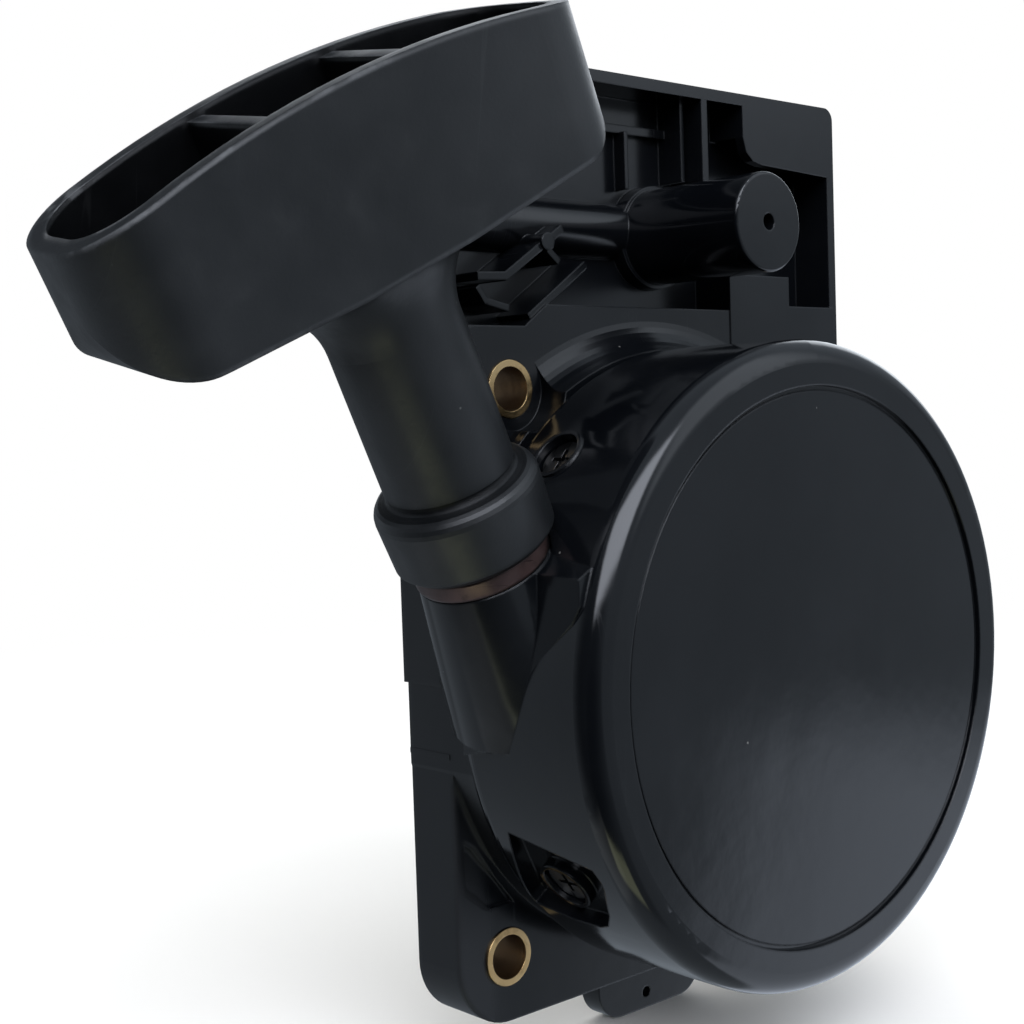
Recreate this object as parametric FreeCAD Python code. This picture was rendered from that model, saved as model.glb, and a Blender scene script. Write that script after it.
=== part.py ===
import FreeCAD, Part
import math
import os
from FreeCAD import Vector

# Recoil starter for a small engine: a drum housing with an open tray above it, the spring,
# pulley and pawls inside the drum, and a rope that leaves up to the left to a T handle.
# Frame: origin on the drum axis at the rear mounting plane, X to the right, drum axis
# along Y with the closed drum face towards -Y (the front), Z up. Millimetres, degrees.

# ---------------------------------------------------------------- shared dimensions
OVER = 1.0               # how far cutters run past the faces they cut
MOUNT_Y = 0.0            # rear mounting plane
PAD_Y = -9.4             # front plane of the flange and of the tray rim

DRUM_R = 47.8
DRUM_WALL = 5.2
DRUM_IN_R = DRUM_R - DRUM_WALL
DRUM_FRONT_Y = -42.4     # closed face of the drum
DRUM_IN_Y = -40.0        # inside of the closed face

SLEEVE_OD, SLEEVE_ID = 8.6, 6.6          # sleeves for M6 bolts
SLEEVE_PROUD = 0.25                      # how far they stand in front of the pads
SLEEVES = [(-34.4, -41.9), (34.4, -41.9), (-30.4, 42.0), (30.4, 42.0)]   # (x, z)

# case screws: angle round the drum, Y, radius under the head, radius of the well rim
WELLS = [(-143.4, -25.2, 44.3, 46.6), (137.2, -24.0, 45.2, 48.1)]

POST_R = 6.0             # centre post that carries the pulley
POST_END_Y = -6.6
INSERT_R, INSERT_LEN = 3.6, 14.0
INSERT_Y0 = POST_END_Y - INSERT_LEN
SCREW_R = 2.5            # M5 centre screw

ROPE_R = 1.75
TANGENT_R = 33.63        # rope centre line where it leaves the pulley
TANGENT_Y = -18.49
ROPE_AXIS = Vector(-0.4803, -0.1165, 0.8693)     # direction the handle is pulled
ROPE_AXIS.normalize()
COLLAR_S = 43.02         # distance along the rope from tangent to handle collar
BUSH_R, BUSH_LEN = 5.0, 9.0
BUSH_FLANGE_R, BUSH_FLANGE = 9.5, 3.2    # flange of the rope bush under the collar
MOUTH_S = COLLAR_S - BUSH_FLANGE - 0.1   # rope distance to the mouth of the outlet

PULLEY_FRONT_Y, PULLEY_FLANGE_Y1, PULLEY_REAR_Y = -25.8, -14.7, -7.2
GROOVE_Y0, GROOVE_Y1 = -24.1, -16.5
CORE_R = 26.0            # bottom of the rope groove
HUB_R, HUB_FRONT_Y = 13.5, -37.8         # pulley hub inside the spring
PULLEY_BORE_R = 7.6

CASE_R, CASE_T = 41.2, 1.0
CASE_IN_R = CASE_R - CASE_T

KNOT_R = 2.9             # knot in the pulley
SPRING_RECESS = 3.0      # depth of the ring recess in the rear of the pulley

PAWL_T = 3.2
PAWL_Y0 = PULLEY_REAR_Y + 0.15
PAWL_Y1 = PAWL_Y0 + PAWL_T
PAWL_PIVOT_R, PAWL_PIN_R = 24.5, 2.0
PAWL_PIN_Y0 = PULLEY_REAR_Y - 1.6
PAWL_ANGLES = (0, 180)
PEG_R, PEG_AT, PEG_ANGLE = 1.2, 20.5, -28.0      # peg on each pawl, pawls shut
DRAG_Y0, DRAG_Y1 = -3.75, -2.75
WASHER_Y0, WASHER_Y1 = DRAG_Y1 + 0.15, DRAG_Y1 + 1.15


# ---------------------------------------------------------------- helpers
def polar(radius, degrees):
    """(x, z) at an angle from X towards Z."""
    angle = math.radians(degrees)
    return radius * math.cos(angle), radius * math.sin(angle)


def radial(degrees):
    x, z = polar(1.0, degrees)
    return Vector(x, 0, z)


def ycyl(radius, y0, y1, at=(0, 0)):
    """Cylinder along Y from y0 (front) to y1 (rear), centred on (x, z)."""
    return Part.makeCylinder(radius, y1 - y0, Vector(at[0], y0, at[1]), Vector(0, 1, 0))


def ring(inner, outer, y0, y1, at=(0, 0)):
    return ycyl(outer, y0, y1, at).cut(ycyl(inner, y0 - OVER, y1 + OVER, at))


def radial_cyl(radius, start, length, degrees, y):
    """Cylinder pointing away from the drum axis, from radius start."""
    outward = radial(degrees)
    return Part.makeCylinder(radius, length, outward * start + Vector(0, y, 0), outward)


def on_rope(distance):
    x, z = ROPE_AXIS.x, ROPE_AXIS.z
    scale = -TANGENT_R / math.hypot(x, z)
    return Vector(z * scale, TANGENT_Y, -x * scale) + ROPE_AXIS * distance


def rope_cyl(radius, start, length):
    return Part.makeCylinder(radius, length, on_rope(start), ROPE_AXIS)


def box(x0, x1, y0, y1, z0, z1):
    return Part.makeBox(x1 - x0, y1 - y0, z1 - z0, Vector(x0, y0, z0))


def polygon_face(points):
    return Part.Face(Part.makePolygon(points + points[:1]))


def prism(outline, y0, y1):
    """Outline of (x, z) points extruded from y0 to y1."""
    return polygon_face([Vector(x, y0, z) for x, z in outline]).extrude(Vector(0, y1 - y0, 0))


def strip(start, end, width, y0, y1):
    """Straight bar of the given width between two (x, z) points."""
    dx, dz = end[0] - start[0], end[1] - start[1]
    length = math.hypot(dx, dz)
    nx, nz = -dz / length * width / 2, dx / length * width / 2
    return prism([(start[0] + nx, start[1] + nz), (end[0] + nx, end[1] + nz),
                  (end[0] - nx, end[1] - nz), (start[0] - nx, start[1] - nz)], y0, y1)


def revolve_y(profile):
    """Profile of (radius, y) points revolved about the Y axis."""
    face = polygon_face([Vector(radius, y, 0) for radius, y in profile])
    return face.revolve(Vector(0, 0, 0), Vector(0, 1, 0), 360)


def rounded_face(left, right, bottom, top, radii, to_point):
    """Rectangle with corner radii (lower left, lower right, upper right, upper left);
    to_point turns its two flat coordinates into a Vector."""
    low_left, low_right, up_right, up_left = radii
    # centre of each corner, its radius and the angle where its arc starts
    corners = [(right - low_right, bottom + low_right, low_right, 270),
               (right - up_right, top - up_right, up_right, 0),
               (left + up_left, top - up_left, up_left, 90),
               (left + low_left, bottom + low_left, low_left, 180)]

    def on_corner(index, degrees):
        across, up, radius, start = corners[index]
        da, du = polar(radius, start + degrees)
        return to_point(across + da, up + du)

    edges = []
    for i in range(4):
        edges.append(Part.makeLine(on_corner(i - 1, 90), on_corner(i, 0)))
        if corners[i][2]:
            edges.append(Part.Arc(on_corner(i, 0), on_corner(i, 45),
                                  on_corner(i, 90)).toShape())
    return Part.Face(Part.Wire(Part.__sortEdges__(edges)))


def rounded_plate(x0, x1, z0, z1, y0, y1, radii):
    face = rounded_face(x0, x1, z0, z1, radii, lambda x, z: Vector(x, y0, z))
    return face.extrude(Vector(0, y1 - y0, 0))


def frame(x_axis, y_axis, z_axis, origin):
    return FreeCAD.Matrix(x_axis.x, y_axis.x, z_axis.x, origin.x,
                          x_axis.y, y_axis.y, z_axis.y, origin.y,
                          x_axis.z, y_axis.z, z_axis.z, origin.z, 0, 0, 0, 1)


def one(shape):
    """Merge split faces and unwrap a compound that holds a single solid."""
    merged = shape.removeSplitter()
    if merged.ShapeType == "Compound" and len(merged.Solids) == 1:
        merged = merged.Solids[0]
    return merged


# ---------------------------------------------------------------- housing: drum
DRUM_RIM_FILLET = 3.6    # rounded rim of the drum face
DRUM_REAR_Y = -14.6      # rear edge of the full-radius drum wall
DRUM_REAR_ROUND = 3.4
NECK_R = 45.7            # drum behind that edge
FLANK_X = -43.95         # flat left flank of the neck
FOOT_R = 4.6             # concave foot between drum and flange
FOOT_Z0 = 26.0           # the foot runs round the part of the drum above this
ARC_STEPS = 8

PLATE_X0, PLATE_X1 = -43.8, 48.8
PLATE_Z0, PLATE_Z1 = -51.6, 54.6
PLATE_SKIN = 2.2
PLATE_LOW_R, PLATE_TOP_R = 9.5, 1.5      # corner radii
SLEEVE_BOSS_R = 7.7


def drum():
    shell = ycyl(DRUM_R, DRUM_FRONT_Y, DRUM_REAR_Y)
    rim = [edge for edge in shell.Edges
           if abs(edge.BoundBox.YMin - DRUM_FRONT_Y) < 1e-3
           and abs(edge.BoundBox.YMax - DRUM_FRONT_Y) < 1e-3]
    shell = shell.makeFillet(DRUM_RIM_FILLET, rim)
    # the rear edge of the wall is rounded off as far as the neck
    stop = math.acos(1.0 - (DRUM_R - NECK_R) / DRUM_REAR_ROUND)
    centre_r = DRUM_R - DRUM_REAR_ROUND
    centre_y = DRUM_REAR_Y - DRUM_REAR_ROUND * math.sin(stop)
    outside = DRUM_R + 2.0
    profile = [(outside, DRUM_REAR_Y + OVER), (outside, DRUM_REAR_Y - 4.0),
               (DRUM_R, DRUM_REAR_Y - 4.0)]
    for i in range(ARC_STEPS + 1):
        angle = stop * i / ARC_STEPS
        profile.append((centre_r + DRUM_REAR_ROUND * math.cos(angle),
                        centre_y + DRUM_REAR_ROUND * math.sin(angle)))
    profile.append((NECK_R, DRUM_REAR_Y + OVER))
    return shell.cut(revolve_y(profile))


def neck():
    return ycyl(NECK_R, DRUM_REAR_Y - 0.5, MOUNT_Y).common(box(FLANK_X, 60, -30, 5, -60, 60))


def foot():
    front, rear = PAD_Y - FOOT_R - 0.6, PAD_Y + 1.0
    profile = [(NECK_R - 1.0, front), (DRUM_R, front)]
    for i in range(ARC_STEPS + 1):
        dr, dy = polar(FOOT_R, 90.0 * i / ARC_STEPS)
        profile.append((DRUM_R + FOOT_R - dr, PAD_Y - FOOT_R + dy))
    profile += [(DRUM_R + FOOT_R, rear), (NECK_R - 1.0, rear)]
    limit = rounded_plate(PLATE_X0, PLATE_X1, FOOT_Z0, PLATE_Z1, PAD_Y - FOOT_R - 1, MOUNT_Y,
                          (0, 0, PLATE_TOP_R, PLATE_TOP_R))
    return revolve_y(profile).common(limit)


def flange():
    """Plate round the drum, hollow from the rear except at the drum and sleeve bosses."""
    plate = rounded_plate(PLATE_X0, PLATE_X1, PLATE_Z0, PLATE_Z1, PAD_Y, MOUNT_Y,
                          (PLATE_LOW_R, PLATE_LOW_R, PLATE_TOP_R, PLATE_TOP_R))
    low_r = PLATE_LOW_R - PLATE_SKIN
    hollow = rounded_plate(PLATE_X0 + PLATE_SKIN, PLATE_X1 - PLATE_SKIN,
                           PLATE_Z0 + PLATE_SKIN, PLATE_Z1 - PLATE_SKIN,
                           PAD_Y + PLATE_SKIN, MOUNT_Y + OVER, (low_r, low_r, 0.5, 0.5))
    hollow = hollow.cut(ycyl(DRUM_R, PAD_Y, MOUNT_Y + OVER))
    for at in SLEEVES:
        hollow = hollow.cut(ycyl(SLEEVE_BOSS_R, PAD_Y, MOUNT_Y + OVER, at))
    return plate.cut(hollow)


# ---------------------------------------------------------------- housing: tray
TRAY_Z1 = 90.8           # top of the open tray above the drum
TRAY_WALL = 1.9
TRAY_FLOOR = 2.0
ROOT_Y = -1.0            # details stand on the tray floor from this plane inside it

# ribs on the tray floor: x0, x1, front y, z0, z1
TRAY_RIBS = [
    (13.9, 15.3, PAD_Y + 0.1, 75.6, TRAY_Z1 - 1.0),      # upright rib
    (11.2, 12.0, PAD_Y + 2.4, 75.6, TRAY_Z1 - 1.0),      # lower rib beside it
    (0.6, 1.4, -4.4, 74.0, 83.2),                        # short rib
    (PLATE_X0 + 1.0, 13.9, -3.4, 83.0, 84.4),            # ledge across the floor
]
# upper right web, flush with the rim: x, z
WEB_OUTLINE = [(24.2, 89.5), (24.2, 83.6), (25.0, 81.2), (26.6, 79.9), (29.0, 79.4),
               (47.6, 78.6), (47.6, 89.5)]
WEB_T = 1.8
WEB_EDGE = (24.2, 25.6, PAD_Y, 84.0, 89.5)               # columns as TRAY_RIBS
# lower right plate, close to the rim: x, z
SHELF_OUTLINE = [(19.6, 46.0), (47.9, 46.0), (47.9, 55.6), (35.2, 55.6), (35.2, 60.6),
                 (19.6, 60.6)]
SHELF_Y0, SHELF_Y1 = PAD_Y - 0.2, PAD_Y + 2.0
# walls under the edges of that plate, columns as TRAY_RIBS
SHELF_EDGES = [
    (19.6, 21.0, SHELF_Y0, 52.0, 60.6),
    (19.6, 35.2, PAD_Y + 0.2, 59.2, 60.6),
    (33.8, 35.2, PAD_Y + 0.2, 54.0, 60.6),
]

BOSS_AT, BOSS_R = (7.4, 66.5), 7.7       # large boss in the tray
BOSS_FRONT_Y = -28.0
BOSS_FILLET = 0.5
BOSS_FOOT_R, BOSS_FOOT_Y = BOSS_R + 0.7, -4.6
BOSS_PILOT_R, BOSS_PILOT_DEEP = 1.3, 14.0
DUCT_R, DUCT_Y, DUCT_Z = 4.5, -1.2, 67.3

# fill behind the notch at the clip, and the notch: x, z
CLIP_FILL = (-41.8, -19.0, PAD_Y + 0.5, -0.6, 48.6, 54.0)
CLIP_NOTCH = [(-40.6, 55.2), (-40.6, 52.6), (-38.0, 51.3), (-27.0, 51.3), (-26.2, 51.9),
              (-21.6, 55.2)]
CLIP_NOTCH_Y1 = -2.0
# ribs of the clip bracket: start (x, z), end (x, z), thickness, setback from PAD_Y
CLIP_RIBS = [
    ((-30.4, 58.4), (-18.3, 66.2), 1.25, 0.3),
    ((-25.7, 52.6), (-13.6, 60.9), 1.25, 0.3),
    ((-35.6, 58.4), (-30.2, 58.6), 1.25, 0.3),
    ((-21.7, 63.3), (-19.0, 61.1), 1.0, 0.5),
]
CLIP_LEFT_RIBS = [
    ((-35.4, 57.0), (-33.6, 54.6), 1.0, 0.6),
    ((-33.6, 54.8), (-29.4, 53.9), 1.0, 0.6),
]
CLIP_PIN_R, CLIP_PIN_AT = 1.35, (-21.8, 64.0)

# tab under the drum
TAB_X0, TAB_X1, TAB_Z0, TAB_Z1 = -10.5, 13.5, -60.2, -45.0
TAB_Y0, TAB_CORNER = -4.0, 5.0
TAB_HOLE_R, TAB_HOLE_AT = 0.9, (0.4, -57.6)


def tray():
    outer = rounded_plate(PLATE_X0, PLATE_X1, PLATE_Z1 - TRAY_WALL, TRAY_Z1, PAD_Y, MOUNT_Y,
                          (0, 0, 2.2, 2.2))
    return outer.cut(rounded_plate(PLATE_X0 + TRAY_WALL, PLATE_X1 - TRAY_WALL,
                                   PLATE_Z1, TRAY_Z1 - TRAY_WALL, PAD_Y - OVER,
                                   MOUNT_Y - TRAY_FLOOR, (0.6, 0.6, 1.2, 1.2)))


def floor_rib(x0, x1, y0, z0, z1):
    return box(x0, x1, y0, ROOT_Y, z0, z1)


def tray_details():
    details = [floor_rib(*rib) for rib in TRAY_RIBS]
    details.append(prism(WEB_OUTLINE, PAD_Y, PAD_Y + WEB_T))
    details.append(floor_rib(*WEB_EDGE))
    details.append(prism(SHELF_OUTLINE, SHELF_Y0, SHELF_Y1))
    details += [floor_rib(*rib) for rib in SHELF_EDGES]
    # large boss with a wider foot
    boss = ycyl(BOSS_R, BOSS_FRONT_Y, ROOT_Y, BOSS_AT)
    front = [edge for edge in boss.Edges if edge.BoundBox.YMax < BOSS_FRONT_Y + 1e-3]
    details.append(boss.makeFillet(BOSS_FILLET, front))
    details.append(ycyl(BOSS_FOOT_R, BOSS_FOOT_Y, ROOT_Y, BOSS_AT))
    # rounded duct that runs from the left wall to the boss
    start = PLATE_X0 + 1.0
    duct = Part.makeCylinder(DUCT_R, BOSS_AT[0] - start, Vector(start, DUCT_Y, DUCT_Z),
                             Vector(1, 0, 0))
    details.append(duct.common(box(PLATE_X0, BOSS_AT[0], -12, -0.5, 55, 90)))
    return details


def clip_bracket():
    def ribs(table):
        return [strip(start, end, width, PAD_Y + setback, ROOT_Y)
                for start, end, width, setback in table]
    pin = ycyl(CLIP_PIN_R, PAD_Y - 0.2, ROOT_Y, CLIP_PIN_AT)
    return ribs(CLIP_RIBS) + [pin] + ribs(CLIP_LEFT_RIBS)


# ---------------------------------------------------------------- housing: outlet and cuts
# the outlet is a cone round the rope line
OUTLET_S0, OUTLET_R0, OUTLET_R1 = 17.0, 12.4, 9.3
# gusset between outlet and drum wall, seen from above: x, y (drafted left face)
GUSSET_PLAN = [(-46.6, -39.4), (-48.4, -24.5), (-48.2, -17.2), (-40.0, -17.2), (-40.0, -39.4)]
GUSSET_Z0, GUSSET_HEIGHT = -12.0, 40.0
# the same gusset seen from the side: y, z (slanting lower edge)
GUSSET_SIDE = [(-39.6, 27.0), (-39.6, 13.5), (-38.0, 10.9), (-33.4, 6.7), (-26.6, -2.3),
               (-22.6, -7.2), (-17.0, -8.6), (-17.0, 27.0)]
GUSSET_X0, GUSSET_WIDTH = -60.0, 22.0

SPOT_FACE_R = 6.4        # keeps the sleeve ends clear
PASSAGE_R = 3.4          # rope passage
DISC_R, DISC_DEEP = 41.0, 0.55           # shallow turned disc in the drum face
DISC_GROOVE_W, DISC_GROOVE_DEEP = 0.7, 0.95
# recess by the lower left sleeve pad: x, z
PAD_RECESS = [(-42.3, -23.5), (-40.6, -24.6), (-33.0, -34.0), (-37.8, -34.0), (-42.2, -30.5)]
PAD_RECESS_DEEP = 0.8

POST_FOOT_R, POST_FOOT_Y1 = 9.5, -38.4
FACE_RIBS = 6            # ribs inside the closed face
FACE_RIB_X0, FACE_RIB_X1, FACE_RIB_T = 9.0, 40.4, 1.6

# pocket in the drum wall round the lower case screw: y, distance round the drum
WELL_POCKET = [(-20.6, -10.2), (-35.6, -7.0), (-36.2, -5.0), (-36.0, -3.6), (-33.4, 2.2),
               (-31.0, 5.4), (-28.6, 6.6), (-24.0, 6.6), (-17.0, 4.6), (-16.6, 3.4)]
WELL_POCKET_R = 44.9     # floor of the pocket
WELL_BOSS_R0, WELL_BOSS_R = 44.0, 4.2
WELL_HEAD_R, WELL_SHANK_R = 3.5, 1.6


def rope_outlet():
    tube = Part.makeCone(OUTLET_R0, OUTLET_R1, MOUTH_S - OUTLET_S0, on_rope(OUTLET_S0),
                         ROPE_AXIS)
    tube = tube.cut(ycyl(DRUM_R - 1.2, DRUM_FRONT_Y, MOUNT_Y + 5))
    return tube.common(box(-90, 90, -60, MOUNT_Y - 0.2, -60, 90))


def outlet_gusset():
    plan = polygon_face([Vector(x, y, GUSSET_Z0) for x, y in GUSSET_PLAN])
    side = polygon_face([Vector(GUSSET_X0, y, z) for y, z in GUSSET_SIDE])
    gusset = plan.extrude(Vector(0, 0, GUSSET_HEIGHT))
    gusset = gusset.common(side.extrude(Vector(GUSSET_WIDTH, 0, 0)))
    # trimmed almost level with the mouth
    return gusset.common(Part.makeCylinder(60.0, 90.0, on_rope(MOUTH_S - 0.3),
                                           ROPE_AXIS * -1))


def cut_cavities(body):
    body = body.cut(ycyl(DRUM_IN_R, DRUM_IN_Y, MOUNT_Y + OVER))
    for at in SLEEVES:
        body = body.cut(ycyl(SLEEVE_OD / 2, PAD_Y - 6, MOUNT_Y + OVER, at))
    for at in SLEEVES:
        body = body.cut(ycyl(SPOT_FACE_R, PAD_Y - 6, PAD_Y, at))
    # rope bush seat, rope passage and room for the bush flange
    body = body.cut(rope_cyl(BUSH_R, MOUTH_S - BUSH_LEN, 20.0))
    body = body.cut(rope_cyl(PASSAGE_R, 2.0, 50.0))
    body = body.cut(rope_cyl(BUSH_FLANGE_R + 0.15, MOUTH_S, 14.0))
    body = body.cut(ycyl(BOSS_PILOT_R, BOSS_FRONT_Y - OVER, BOSS_FRONT_Y + BOSS_PILOT_DEEP,
                         BOSS_AT))
    body = body.cut(ycyl(TAB_HOLE_R, -5, 1, TAB_HOLE_AT))
    # shallow disc and fine groove in the drum face
    front = DRUM_FRONT_Y - OVER
    body = body.cut(ycyl(DISC_R, front, DRUM_FRONT_Y + DISC_DEEP))
    body = body.cut(ring(DISC_R - DISC_GROOVE_W, DISC_R, front,
                         DRUM_FRONT_Y + DISC_GROOVE_DEEP))
    return body.cut(prism(PAD_RECESS, PAD_Y - 6, PAD_Y + PAD_RECESS_DEEP))


def centre_post():
    post = ycyl(POST_R, DRUM_IN_Y - 0.5, POST_END_Y)
    post = post.fuse(ycyl(POST_FOOT_R, DRUM_IN_Y - 0.5, POST_FOOT_Y1))
    post = post.cut(ycyl(INSERT_R, INSERT_Y0, MOUNT_Y))
    return post.cut(ycyl(SCREW_R + 0.15, INSERT_Y0 - 3.0, MOUNT_Y))


def face_ribs():
    """Ribs like spokes on the inside of the closed face."""
    ribs = []
    for k in range(FACE_RIBS):
        rib = box(FACE_RIB_X0, FACE_RIB_X1, DRUM_IN_Y - 0.1, DRUM_IN_Y + 0.6,
                  -FACE_RIB_T / 2, FACE_RIB_T / 2)
        rib.rotate(Vector(0, 0, 0), Vector(0, 1, 0), 360 / FACE_RIBS * k + 30)
        ribs.append(rib)
    return ribs


def well_pocket():
    angle = WELLS[0][0]
    outward, around = radial(angle), radial(angle + 90)
    face = polygon_face([outward * WELL_POCKET_R + around * offset + Vector(0, y, 0)
                         for y, offset in WELL_POCKET])
    return face.extrude(outward * 8)


def housing():
    body = drum().fuse([neck(), foot(), flange(), tray()])
    # step on the left flank: the upper part stands a little proud
    body = body.fuse(box(PLATE_X0 - 0.9, PLATE_X0 + 1.0, PAD_Y + 0.6, MOUNT_Y, -0.4, 40.0))
    # thin seam rib across the left flank below the rope outlet
    body = body.fuse(box(PLATE_X0 - 0.25, PLATE_X0 + 1.0, PAD_Y + 0.4, MOUNT_Y, -11.0, -10.2))

    # the fill keeps the notch from breaking into the hollow
    body = body.fuse(box(*CLIP_FILL))
    body = body.cut(prism(CLIP_NOTCH, PAD_Y - OVER, CLIP_NOTCH_Y1))
    tab = rounded_plate(TAB_X0, TAB_X1, TAB_Z0, TAB_Z1, TAB_Y0, MOUNT_Y,
                        (TAB_CORNER, TAB_CORNER, 0, 0))
    sleeve_bosses = [ycyl(SLEEVE_BOSS_R, PAD_Y + 0.5, MOUNT_Y, at) for at in SLEEVES]
    body = body.fuse(tray_details() + clip_bracket() + [tab] + sleeve_bosses)

    body = body.fuse([rope_outlet(), outlet_gusset()])
    body = cut_cavities(body)
    body = body.fuse(centre_post())
    body = body.fuse(face_ribs())

    body = body.cut(well_pocket())
    # radial wells for the case screws, through the drum wall
    for angle, y, head_r, rim_r in WELLS:
        body = body.fuse(radial_cyl(WELL_BOSS_R, WELL_BOSS_R0, rim_r - WELL_BOSS_R0, angle, y))
        body = body.cut(radial_cyl(WELL_HEAD_R, head_r, 5.0, angle, y))
        body = body.cut(radial_cyl(WELL_SHANK_R, DRUM_IN_R - 2.0, 8.0, angle, y))
    return one(body)


# ---------------------------------------------------------------- sleeves and rope bush
BUSH_FILLET = 0.7
BUSH_BORE_R, BUSH_MOUTH_R, BUSH_MOUTH_DEEP = 2.3, 4.0, 1.8


def sleeves():
    return Part.makeCompound([ring(SLEEVE_ID / 2, SLEEVE_OD / 2, PAD_Y - SLEEVE_PROUD,
                                   MOUNT_Y, at) for at in SLEEVES])


def rope_bush():
    body = rope_cyl(BUSH_R, MOUTH_S - BUSH_LEN, BUSH_LEN)
    collar = rope_cyl(BUSH_FLANGE_R, MOUTH_S, BUSH_FLANGE)
    rims = [edge for edge in collar.Edges if edge.Length > 50]
    body = body.fuse(collar.makeFillet(BUSH_FILLET, rims))
    body = body.cut(rope_cyl(BUSH_BORE_R, MOUTH_S - BUSH_LEN - OVER, 14.0))
    mouth = Part.makeCone(BUSH_BORE_R, BUSH_MOUTH_R, BUSH_MOUTH_DEEP,
                          on_rope(MOUTH_S + BUSH_FLANGE - BUSH_MOUTH_DEEP + 0.01), ROPE_AXIS)
    return one(body.cut(mouth))


# ---------------------------------------------------------------- pulley and rope
PULLEY_FLANGE_R, PULLEY_BOSS_R = 38.4, 30.0
RECESS_R, RECESS_WALL = 13.0, 1.6        # ring recess round the bore, from the rear
HOOK_DEEP, HOOK_HALF, HOOK_Y1 = 2.2, 1.4, -29.0      # spring hook notch in the hub
KNOT_AT, KNOT_Y = polar(20.0, 200), -19.5
FLANGE_HOLES, FLANGE_HOLE_R, FLANGE_HOLE_AT = 6, 4.2, 28.0
BUSH_IN_R = 6.06         # running fit on the post


def pulley():
    body = ycyl(PULLEY_FLANGE_R, PULLEY_FRONT_Y, PULLEY_FLANGE_Y1)
    body = body.fuse(ycyl(PULLEY_BOSS_R, PULLEY_FLANGE_Y1 - 1, PULLEY_REAR_Y))
    body = body.cut(ring(CORE_R, PULLEY_FLANGE_R + OVER, GROOVE_Y0, GROOVE_Y1))
    body = body.fuse(ycyl(HUB_R, HUB_FRONT_Y, PULLEY_FRONT_Y + 1))
    body = body.cut(ycyl(PULLEY_BORE_R, HUB_FRONT_Y - OVER, 1))
    body = body.cut(ring(PULLEY_BORE_R + RECESS_WALL, RECESS_R,
                         PULLEY_REAR_Y - SPRING_RECESS, PULLEY_REAR_Y + OVER))
    body = body.cut(box(HUB_R - HOOK_DEEP, HUB_R + OVER, HUB_FRONT_Y - OVER, HOOK_Y1,
                        -HOOK_HALF, HOOK_HALF))
    # knot pocket
    body = body.cut(ycyl(KNOT_R + 0.4, GROOVE_Y0 + 0.6, PULLEY_REAR_Y + OVER, KNOT_AT))
    for angle in PAWL_ANGLES:
        body = body.cut(ycyl(PAWL_PIN_R, PAWL_PIN_Y0, 1, polar(PAWL_PIVOT_R, angle)))
    # round holes through the front flange
    for k in range(FLANGE_HOLES):
        at = polar(FLANGE_HOLE_AT, 360 / FLANGE_HOLES * k + 30)
        body = body.cut(ycyl(FLANGE_HOLE_R, PULLEY_FRONT_Y - OVER, GROOVE_Y0 + 0.5, at))
    return one(body)


def pulley_bush():
    return ring(BUSH_IN_R, PULLEY_BORE_R, HUB_FRONT_Y, PULLEY_REAR_Y)


def rope_coil():
    """The wound rope, as one ring up to just inside the straight run."""
    return ring(CORE_R, TANGENT_R - ROPE_R - 0.06, GROOVE_Y0 + 0.15, GROOVE_Y1 - 0.15)


def pulley_knot():
    return Part.makeSphere(KNOT_R, Vector(KNOT_AT[0], KNOT_Y, KNOT_AT[1]))


# ---------------------------------------------------------------- spring and its case
SPRING_T, SPRING_W = 0.6, 9.4
SPRING_R0, SPRING_R1, SPRING_TURNS = 15.2, 39.4, 11
SPRING_Y = -38.35        # front edge of the spiral spring
CASE_Y0, CASE_Y1 = -39.25, -26.3
CASE_FLOOR = 0.75
CASE_HOLE_R = 10.5
LIP_Y0, LIP_Y1 = -26.4, -25.6
EAR_R, EAR_TOP_R = 3.4, DRUM_IN_R - 0.25
CASE_SCREW_R = 1.5
COVER_Y0, COVER_T = -27.6, 0.8
HEAD_R, HEAD_H = 3.2, 1.5                # case screw head
SLOT_LEN, SLOT_W, SLOT_Z0 = 3.6, 0.7, 0.7


def recoil_spring():
    """Flat strip wound as half turns whose centres alternate either side of the axis."""
    halves = 2 * SPRING_TURNS
    step = (SPRING_R1 - SPRING_R0) / halves
    inside, outside = [], []
    for k in range(halves):
        side = 1.0 if k % 2 == 0 else -1.0
        start_r, end_r = SPRING_R0 + k * step, SPRING_R0 + (k + 1) * step
        centre, mean_r = side * (start_r - end_r) / 2, (start_r + end_r) / 2
        for arcs, offset in ((inside, -SPRING_T / 2), (outside, SPRING_T / 2)):
            radius = mean_r + offset
            arcs.append(Part.Arc(Vector(centre + side * radius, SPRING_Y, 0),
                                 Vector(centre, SPRING_Y, side * radius),
                                 Vector(centre - side * radius, SPRING_Y, 0)).toShape())
    ends = [Part.makeLine(Vector(radius - SPRING_T / 2, SPRING_Y, 0),
                          Vector(radius + SPRING_T / 2, SPRING_Y, 0))
            for radius in (SPRING_R0, SPRING_R1)]
    wire = Part.Wire(Part.__sortEdges__(inside + outside + ends))
    return Part.Face(wire).extrude(Vector(0, SPRING_W, 0))


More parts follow.
